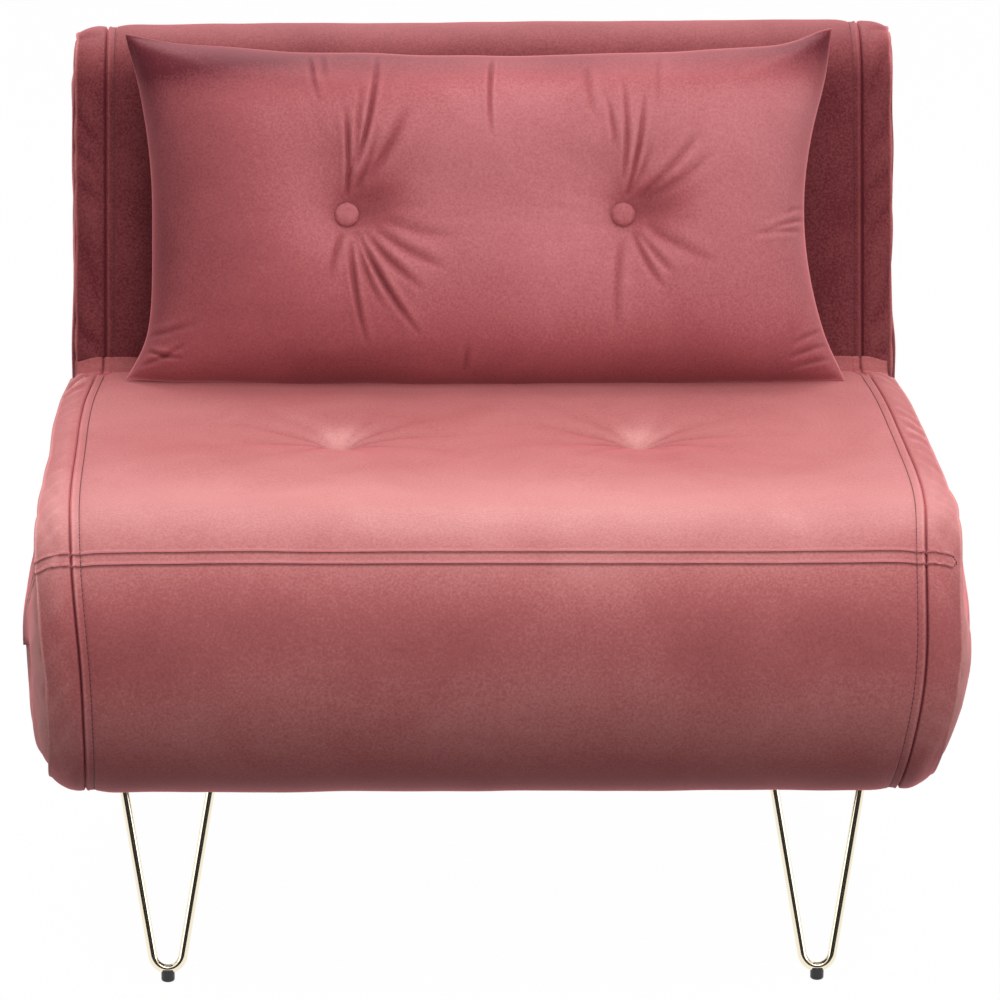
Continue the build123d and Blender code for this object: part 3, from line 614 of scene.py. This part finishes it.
lift = puff - padding_drop - seam_groove(past_seam) + edge_line + slow
lift -= 0.0030 * band_zone * crimp * (0.5 + 0.5 * drift(t, u, 5.0, 64.0))
gusset_zone = ease(gusset_share, 0.05, 0.2) * (1.0 - ease(gusset_share, 0.8, 1.0))
lift += 0.0030 * gusset_zone * drift(t, u, 16.0, 67.0)
grid = grid + normal * lift[..., None]
grid[..., 2] += top_tilt * grid[..., 0] * grid[..., 2] / back_run
grid[..., 0] += sideways_shift
back_cover = wrapped_tube("back_cover_velvet", grid)
# Painted light and shade on the backrest: a dark front face that is lighter towards its top rounding, a
# lighter rear, painted shade in each seam groove with painted highlights beside it and on the band edges,
# and painted shade in the band crimps.
painted_light_and_tone = 0.07 + 0.15 * (1.0 - ease(away, quarter * 0.50, quarter * 1.15)) * (t > 0)
painted_light_and_tone += 0.23 * ease(-t, 0.0, 0.04)
painted_light_and_tone += (0.22 - painted_light_and_tone) * ease(gusset_share, 0.0, 0.4)
painted_light_and_tone += 0.14 * bell(past_seam + 0.0024, 0.0012) - 0.30 * bell(past_seam - 0.0003, 0.0011)
painted_light_and_tone += 0.60 * bell(past_seam - back_band, 0.0018) - 0.10 * band_zone * (crimp - 0.5)
set_painted_shading(back_cover, np.concatenate([painted_light_and_tone, painted_light_and_tone[:1]]).ravel())
back_cover.data.transform(leaned)
close_tube(back_cover)
back_cover.data.materials.append(velvet)
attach(back_cover, "backrest")
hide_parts("back_cover", "back_wadding", "back_foam_front", "back_foam_rear")

back_threads = topstitch_row("back_topstitching", seam_paths(grid, normal, back_stations, around))
back_threads.data.transform(leaned)
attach(back_threads, "backrest")

# Crease strip: a narrow velvet strip sewn between the seat and the backrest, sagging slightly over the gap.
# It follows the seat at its front edge and the backrest at its rear edge.
past_the_seam = 0.0285
strip_thickness = 0.0016
half_strip = [u for u in back_stations if 0.0 <= u <= seam_x + past_the_seam]
strip_stations = np.array([-u for u in half_strip[:0:-1]] + half_strip)
strip_line = np.array([(seat_high.y - 0.032, seat_top - 0.0075), (seat_high.y - 0.023, seat_top - 0.0026),
                       (seat_high.y - 0.011, seat_top - 0.0020), (seat_high.y + 0.001, seat_top - 0.0044),
                       (seat_high.y + 0.010, seat_top - 0.0036), (seat_high.y + 0.0155, seat_top + 0.0006),
                       (seat_high.y + 0.0185, seat_top + 0.0060)])
steps = np.linspace(0.0, len(strip_line) - 1.0, 31)
line_y = np.interp(steps, np.arange(len(strip_line)), strip_line[:, 0])
line_z = np.interp(steps, np.arange(len(strip_line)), strip_line[:, 1])
for _ in range(3):
    line_y[1:-1] = (line_y[:-2] + 2 * line_y[1:-1] + line_y[2:]) / 4
    line_z[1:-1] = (line_z[:-2] + 2 * line_z[1:-1] + line_z[2:]) / 4
y, x = np.meshgrid(line_y, strip_stations, indexing="ij")
z = np.repeat(line_z[:, None], len(strip_stations), 1)
past_seam = np.abs(x) - seam_x
z -= 0.0022 * bell(past_seam - 0.0003, 0.0011) + 0.0008 * bell(past_seam + topstitch, 0.0010)
z -= 0.0052 * ease(past_seam, 0.004, 0.030)
z += 0.0010 * drift(x, y, 16.0, 77.0)
bpy.ops.mesh.primitive_grid_add(x_subdivisions=len(strip_stations) - 1, y_subdivisions=len(steps) - 1,
                                size=1.0)
crease_strip = bpy.context.object
crease_strip.name = "crease_strip_velvet"
crease_strip.data.vertices.foreach_set("co", np.stack([x, y, z], 2).astype(np.float32).ravel())
# Painted shade in the seam groove of the crease strip.
set_painted_shading(crease_strip, (0.50 - 0.35 * bell(past_seam - 0.0003, 0.0012)).ravel())
bpy.ops.object.modifier_add(type="SOLIDIFY")
crease_strip.modifiers[-1].thickness = strip_thickness
crease_strip.modifiers[-1].offset = -1.0
bpy.ops.object.modifier_apply(modifier=crease_strip.modifiers[-1].name)
bpy.ops.object.shade_smooth()
crease_strip.data.materials.append(velvet)
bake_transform(crease_strip)
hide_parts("crease_strip")

# Loose cushion: two velvet sheets sewn edge to edge and stuffed soft, tied through at two covered buttons,
# so that fans of creases run into them. It is inflated upright, then leaned on the backrest.
button_low, button_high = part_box("cushion_front_buttons")
button_radius = 0.011
button_x = (button_high.x - button_low.x) / 2 - button_radius
upright = leaned.inverted()
button_place = upright @ ((button_low + button_high) / 2)
cushion_gap = 0.0003
cushion_half_depth = 0.065
buttons_below_middle = 0.0055
cushion_y = -(back_radius + cushion_gap + cushion_half_depth)
cushion_z = button_place.z + buttons_below_middle
tie_rise = button_place.z - cushion_z
half_width = 0.336
half_height = 0.1635
crown = 0.0610
rear_flattening = 0.0065
edge_zone = 0.0100
welt_height = 0.0014
near_edge = np.array([0.0, 0.0014, 0.0034, 0.0062])
inner = np.linspace(-(half_width - edge_zone), half_width - edge_zone, 180)
across = np.concatenate([near_edge - half_width, inner, half_width - near_edge[::-1]])
inner = np.linspace(-(half_height - edge_zone), half_height - edge_zone, 86)
upward = np.concatenate([near_edge - half_height, inner, half_height - near_edge[::-1]])
b, a = np.meshgrid(upward, across, indexing="ij")
share_a = a / half_width
share_b = b / half_height
hollow = np.where((a < 0.0) & (b < 0.0), 1.0 - np.abs(share_b) ** 5, 1.0 - share_b ** 2)
waist = np.where(a < 0.0, 0.0205, 0.0305) * hollow ** 1.3
sag = np.where(b > 0.0, 0.0135, -0.0040) * (1.0 - share_a ** 2) ** 1.1
x = a - share_a * waist
z = b - share_b * sag
z += 0.0014 * drift(a, a * 0.0, 14.0, 71.0) * np.abs(share_b) ** 6
for side_a, side_b, pull_x, pull_z in ((-1, 1, -0.004, 0.006), (1, 1, -0.004, 0.012),
                                       (1, -1, 0.006, 0.000), (-1, -1, -0.003, 0.002)):
    ear = np.exp(-((a - side_a * half_width) / 0.034) ** 2 - ((b - side_b * half_height) / 0.028) ** 2)
    x += pull_x * ear
    z += pull_z * ear
from_edge = np.minimum(half_width - np.abs(a), half_height - np.abs(b))
side_rise = 1.0 - (1.0 - np.clip((half_width - np.abs(a)) / 0.165, 0.0, 1.0)) ** 2.8
rim_rise = 1.0 - (1.0 - np.clip((half_height - np.abs(b)) / half_height, 0.0, 1.0)) ** 2.6
welt = welt_height * np.clip(from_edge / welt_height, 0.0, 1.0)
halves = []
for way in (-1.0, 1.0):
    depth = crown * (side_rise * rim_rise) ** 0.58 - 0.0030 * bell(from_edge, 0.006)
    depth *= 1.0 + 0.030 * drift(a, b, 9.0, 73.0 + way)
    if way > 0.0:
        depth = np.minimum(depth, crown - rear_flattening)
    for place in (-button_x, button_x):
        reach = np.hypot(x - place, z - tie_rise)
        depth -= 0.0100 * np.exp(-(reach / 0.021) ** 1.4) + 0.0110 * np.exp(-(reach / 0.060) ** 1.6)
    depth = np.maximum(depth, welt) * np.minimum(from_edge / welt_height, 1.0)
    bpy.ops.mesh.primitive_grid_add(x_subdivisions=len(across) - 1, y_subdivisions=len(upward) - 1, size=1.0)
    half = bpy.context.object
    half.data.vertices.foreach_set("co", np.stack([x, way * depth, z], 2).astype(np.float32).ravel())
    rim = half.data.attributes.new("rim", "FLOAT", "POINT")
    rim.data.foreach_set("value", from_edge.astype(np.float32).ravel())
    halves.append(half)
cushion = halves[0]
cushion.name = "cushion_velvet"
cushion.select_set(True)
bpy.context.view_layer.objects.active = cushion
bpy.ops.object.join()
close_tube(cushion)
tied_radius = 0.010
settling_frames = 18
before = np.array([vertex.co for vertex in cushion.data.vertices])
tied = cushion.vertex_groups.new(name="tied")
for index, (px, _, pz) in enumerate(before):
    if min(np.hypot(px - place, pz - tie_rise) for place in (-button_x, button_x)) < tied_radius:
        tied.add([index], 1.0, "REPLACE")
bpy.ops.object.modifier_add(type="CLOTH")
settings = cushion.modifiers[-1].settings
settings.quality = 5
settings.mass = 0.2
settings.tension_stiffness = 18.0
settings.compression_stiffness = 18.0
settings.shear_stiffness = 5.0
settings.bending_stiffness = 0.15
settings.use_pressure = True
settings.uniform_pressure_force = 4.0
settings.vertex_group_mass = "tied"
settings.effector_weights.gravity = 0.0
cushion.modifiers[-1].collision_settings.use_collision = False
for step in range(1, settling_frames + 1):
    scene.frame_set(step)
bpy.ops.object.modifier_apply(modifier=cushion.modifiers[-1].name)
scene.frame_set(1)
after = np.array([vertex.co for vertex in cushion.data.vertices])
moved = after - before
furthest = np.array([0.003, 0.005, 0.003])
between_x = before[:, 0] / 0.105
between_z = (before[:, 2] - tie_rise - 0.008) / 0.042
calm = 1.0 - 0.9 * np.exp(-between_x ** 4 - between_z ** 2)
settled = before + furthest * np.tanh(moved * calm[:, None] / furthest)
cushion.data.vertices.foreach_set("co", settled.ravel())
bpy.ops.object.modifier_add(type="SUBSURF")
cushion.modifiers[-1].levels = 1
cushion.modifiers[-1].render_levels = 1
bpy.ops.object.modifier_apply(modifier=cushion.modifiers[-1].name)


def crease(x, z, start, angle, length, width, depth):
    """One pulled crease from start at an angle: a narrow valley that fades at both ends, with soft lips."""
    along = np.array((cos(radians(angle)), sin(radians(angle))))
    rx, rz = x - start[0], z - start[1]
    forward = rx * along[0] + rz * along[1]
    bow = 0.12 * forward * (forward / length - 1.0)
    sideways = rz * along[0] - rx * along[1] - bow
    share = np.clip(forward / length, 0.0, 1.0)
    inside = (forward > 0.0) & (forward < length)
    fade = np.where(inside, np.sin(pi * share ** 0.75) ** 0.8, 0.0)
    valley = np.exp(-np.abs(sideways / width) ** 1.5)
    lip = 0.50 * np.exp(-((sideways - 2.1 * width) / (1.5 * width)) ** 2)
    lip += 0.30 * np.exp(-((sideways + 2.2 * width) / (1.6 * width)) ** 2)
    return depth * fade * (lip - valley)


left_creases = [(91, 0.016, 0.084, 0.0026, 0.0072), (79, 0.043, 0.112, 0.0028, 0.0080),
                (84, 0.034, 0.084, 0.0026, 0.0046), (60, 0.034, 0.082, 0.0062, 0.0046),
                (70, 0.022, 0.066, 0.0036, 0.0040), (-81, 0.022, 0.104, 0.0028, 0.0058),
                (-104, 0.016, 0.050, 0.0036, 0.0040), (-69, 0.018, 0.078, 0.0030, 0.0044),
                (-59, 0.018, 0.114, 0.0032, 0.0070), (-45, 0.020, 0.082, 0.0040, 0.0048),
                (-29, 0.026, 0.082, 0.0052, 0.0036), (-12, 0.030, 0.076, 0.0062, 0.0020)]
right_creases = [(80, 0.016, 0.097, 0.0028, 0.0070), (90, 0.030, 0.098, 0.0026, 0.0052),
                 (98, 0.062, 0.050, 0.0026, 0.0040), (69, 0.020, 0.054, 0.0032, 0.0036),
                 (47, 0.018, 0.086, 0.0044, 0.0036), (34, 0.022, 0.078, 0.0054, 0.0030),
                 (-93, 0.022, 0.090, 0.0044, 0.0034), (-62, 0.016, 0.064, 0.0034, 0.0046),
                 (-50, 0.018, 0.056, 0.0036, 0.0034), (-28, 0.022, 0.078, 0.0062, 0.0024)]
edge_creases = [((0.008, 0.142), -92, 0.076, 0.0022, 0.0064), ((-0.163, 0.143), -80, 0.044, 0.0026, 0.0034),
                ((-0.150, 0.150), -88, 0.036, 0.0030, 0.0022), ((0.096, 0.132), -84, 0.050, 0.0040, 0.0030),
                ((0.166, 0.146), -94, 0.060, 0.0034, 0.0018),
                ((half_width - 0.030, -0.008), 196, 0.044, 0.0024, 0.0042),
                ((half_width - 0.034, -0.020), 186, 0.056, 0.0030, 0.0026),
                ((half_width - 0.028, 0.004), 196, 0.028, 0.0022, 0.0026),
                ((half_width - 0.016, -0.112), 205, 0.036, 0.0024, 0.0030),
                ((half_width - 0.012, -0.126), 200, 0.044, 0.0024, 0.0036),
                ((half_width - 0.010, -0.140), 194, 0.040, 0.0024, 0.0030),
                ((-half_width + 0.020, -0.132), -12, 0.034, 0.0022, 0.0052),
                ((-half_width + 0.018, -0.118), 14, 0.052, 0.0030, 0.0024),
                ((-half_width + 0.012, -0.146), 24, 0.050, 0.0026, 0.0034),
                ((-0.020, -0.152), 84, 0.026, 0.0034, 0.0030)]
points = np.empty(len(cushion.data.vertices) * 3)
cushion.data.vertices.foreach_get("co", points)
points = points.reshape(-1, 3)
rim = np.empty(len(points))
cushion.data.attributes["rim"].data.foreach_get("value", rim)
front = points[:, 1] < 0.0
x, z = points[:, 0], points[:, 2]
raised = np.zeros(len(points))
narrower = 0.78
shallower = 0.9
for place, creases in ((-button_x, left_creases), (button_x, right_creases)):
    for angle, start, length, width, deep in creases:
        from_tie = (place + start * cos(radians(angle)), tie_rise + start * sin(radians(angle)))
        raised += crease(x, z, from_tie, angle, length, narrower * width, shallower * deep)
for start, angle, length, width, deep in edge_creases:
    raised += crease(x, z, start, angle, length, narrower * width, shallower * deep)
points[:, 1] -= np.where(front, raised * ease(rim, 0.001, 0.012), 0.0)
cushion.data.vertices.foreach_set("co", points.ravel())
# Painted light and shade on the cushion: lighter to the right and towards the top, painted shade in the
# crease valleys with painted highlights on their lips, a darker left edge, top edge and bottom edge, painted
# shade beside each button with a lighter patch on its other side, a lighter middle and lower left corner,
# and a painted highlight along the welt.
painted_light_and_tone = 0.60 + 0.06 * z / half_height + 0.11 * x / half_width
painted_light_and_tone += 52.0 * np.minimum(raised, 0.0) + 30.0 * np.maximum(raised, 0.0)
painted_light_and_tone -= 0.26 * bell(x + half_width, 0.10)
painted_light_and_tone -= 0.74 * bell(z - half_height, 0.038) + 0.25 * bell(z + half_height, 0.050)
for place in (-button_x, button_x):
    painted_light_and_tone -= 0.30 * np.exp(-np.hypot((x - place - 0.026) / 0.030, (z - tie_rise - 0.012) / 0.024) ** 2)
    painted_light_and_tone += 0.08 * np.exp(-np.hypot((x - place + 0.040) / 0.040, (z - tie_rise) / 0.060) ** 2)
painted_light_and_tone += 0.08 * bell(x, 0.10)
painted_light_and_tone += 0.50 * np.exp(-np.hypot((x + half_width) / 0.14, (z + half_height) / 0.06) ** 2)
painted_light_and_tone += 0.50 * bell(rim, 0.0018)
set_painted_shading(cushion, painted_light_and_tone)
cushion.data.transform(leaned @ Matrix.Translation((0.0, cushion_y, cushion_z)))
cushion.data.materials.append(cushion_velvet)
bpy.ops.object.shade_smooth()
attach(cushion, "cushion")
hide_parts("cushion_cover", "cushion_fill")

# Covered buttons: domed 22 mm discs in the same velvet, gathered behind and tied to each other through the
# cushion, so that they sink into its front and rear.
button_depth = 0.0458
dome_height = 0.0046
back_height = 0.0030
gathers = 9
gather_depth = 0.012
button_nap = 0.62
for name, way in (("cushion_front_buttons", -1.0), ("cushion_rear_buttons", 1.0)):
    pair = []
    for place in (-button_x, button_x):
        bpy.ops.mesh.primitive_uv_sphere_add(segments=40, ring_count=22, radius=1.0,
                                             rotation=(pi / 2, 0.0, 0.0))
        button = bpy.context.object
        bpy.ops.object.transform_apply(location=True, rotation=True, scale=True)
        for vertex in button.data.vertices:
            flat = (vertex.co.x ** 2 + vertex.co.z ** 2) ** 0.5
            swell = max(flat, 1e-6) ** 0.62
            factor = button_radius * swell / max(flat, 1e-6)
            turn = np.arctan2(vertex.co.z, vertex.co.x)
            ripple = 1.0 + gather_depth * sin(gathers * turn) * flat
            deep = dome_height if vertex.co.y * way > 0 else back_height
            vertex.co = (vertex.co.x * factor * ripple + place, vertex.co.y * deep + way * button_depth,
                         vertex.co.z * factor * ripple + tie_rise)
        bpy.ops.object.shade_smooth()
        pair.append(button)
    for button in pair:
        button.select_set(True)
    bpy.context.view_layer.objects.active = pair[0]
    bpy.ops.object.join()
    buttons = bpy.context.object
    buttons.name = name.replace("cushion_", "") + "_velvet"
    set_painted_shading(buttons, np.full(len(buttons.data.vertices), button_nap))
    buttons.data.transform(leaned @ Matrix.Translation((0.0, cushion_y, cushion_z)))
    buttons.data.materials.append(cushion_velvet)
    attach(buttons, "cushion")
    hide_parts(name)

# Hairpin legs: 8 mm steel rod bent to a narrow V, welded to a screw plate and plated a pale polished gold.
# They and the rest of the hardware and frame keep their drawn shapes; each gets the material it is made of.


def grained_material(name, first, second, stretch, scale, roughness, metallic=0.0, bump=0.0, grain="Noise"):
    """Two colours mixed by a stretched Noise, Wave or Voronoi grain, which also varies the roughness."""
    material, nodes, links, surface = plain_material(name)
    place = nodes.new("ShaderNodeTexCoord")
    stretched = nodes.new("ShaderNodeMapping")
    stretched.inputs["Scale"].default_value = stretch
    links.new(place.outputs["Object"], stretched.inputs["Vector"])
    texture = nodes.new("ShaderNodeTex" + grain)
    texture.inputs["Scale"].default_value = scale
    if grain == "Wave":
        texture.inputs["Distortion"].default_value = 2.4
        texture.inputs["Detail"].default_value = 3.0
    links.new(stretched.outputs["Vector"], texture.inputs["Vector"])
    level = texture.outputs["Distance" if grain == "Voronoi" else "Fac"]
    links.new(two_tone(nodes, links, level, first, second), surface.inputs["Base Color"])
    polish = nodes.new("ShaderNodeMapRange")
    polish.inputs["To Min"].default_value = roughness[0]
    polish.inputs["To Max"].default_value = roughness[1]
    links.new(level, polish.inputs["Value"])
    links.new(polish.outputs["Result"], surface.inputs["Roughness"])
    surface.inputs["Metallic"].default_value = metallic
    if bump:
        relief = nodes.new("ShaderNodeBump")
        relief.inputs["Strength"].default_value = 0.5
        relief.inputs["Distance"].default_value = bump
        links.new(level, relief.inputs["Height"])
        links.new(relief.outputs[0], surface.inputs["Normal"])
    return material


gold = grained_material("pale_gold_plate", (0.95, 0.87, 0.70), (0.90, 0.80, 0.60), (1, 1, 0.3), 60.0,
                        (0.04, 0.10), 1.0)
plastic = grained_material("black_plastic", (0.012, 0.012, 0.014), (0.024, 0.024, 0.026), (1, 1, 1), 300.0,
                           (0.22, 0.40), bump=0.00005)
powder_coat = grained_material("black_powder_coat", (0.014, 0.014, 0.015), (0.030, 0.030, 0.032), (1, 1, 1),
                               700.0, (0.42, 0.62), bump=0.0001)
hinge_steel = grained_material("hinge_steel", (0.42, 0.42, 0.43), (0.56, 0.56, 0.57), (1, 8, 1), 90.0,
                               (0.24, 0.40), 1.0)
zinc = grained_material("zinc_plate", (0.58, 0.59, 0.60), (0.74, 0.74, 0.72), (1, 1, 1), 240.0, (0.22, 0.38),
                        1.0, grain="Voronoi")
pine_across, pine_deep, pine_upright = [
    grained_material(name, (0.60, 0.40, 0.20), (0.76, 0.57, 0.34), stretch, 4.0, (0.55, 0.72), bump=0.0002,
                     grain="Wave")
    for name, stretch in (("pine_across", (1.5, 14, 14)), ("pine_deep", (14, 1.5, 14)),
                          ("pine_upright", (14, 14, 1.5)))]
webbing_weave = grained_material("webbing_weave", (0.055, 0.050, 0.045), (0.22, 0.19, 0.15), (1, 1, 1),
                                 260.0, (0.78, 0.90), bump=0.0003, grain="Wave")
dust_weave = grained_material("dust_cloth_weave", (0.010, 0.010, 0.011), (0.035, 0.035, 0.037), (1, 1, 1),
                              900.0, (0.80, 0.95), bump=0.0002, grain="Voronoi")
cord = grained_material("tie_cord_twist", (0.50, 0.46, 0.38), (0.75, 0.71, 0.62), (1, 1, 1), 420.0,
                        (0.70, 0.85), bump=0.0003, grain="Wave")
made_of = {gold: ["front_leg_left", "front_leg_right", "rear_leg_left", "rear_leg_right"],
           plastic: ["front_glide_left", "front_glide_right", "rear_glide_left", "rear_glide_right",
                     "rail_end_caps"],
           powder_coat: ["side_rail_left", "side_rail_right", "rear_cross_rail"],
           hinge_steel: ["hinge_bracket_left", "hinge_bracket_right", "ratchet_arm_left",
                         "ratchet_arm_right", "pawl_left", "pawl_right"],
           zinc: ["rail_bolts", "leg_screws", "hinge_bracket_bolts", "ratchet_arm_bolts", "hinge_pin_left",
                  "hinge_pin_right", "pawl_pins"],
           pine_across: ["seat_front_board", "seat_rear_board", "back_bottom_rail", "back_top_rail"],
           pine_deep: ["seat_side_board_left", "seat_side_board_right", "seat_centre_board",
                       "seat_corner_blocks"],
           pine_upright: ["back_stile_left", "back_stile_right"],
           webbing_weave: ["seat_webbing_long", "seat_webbing_cross", "back_webbing"],
           dust_weave: ["seat_dust_cover"],
           cord: ["cushion_ties"]}
for material, names in made_of.items():
    for name in names:
        frame["nodes"][name].data.materials.clear()
        frame["nodes"][name].data.materials.append(material)
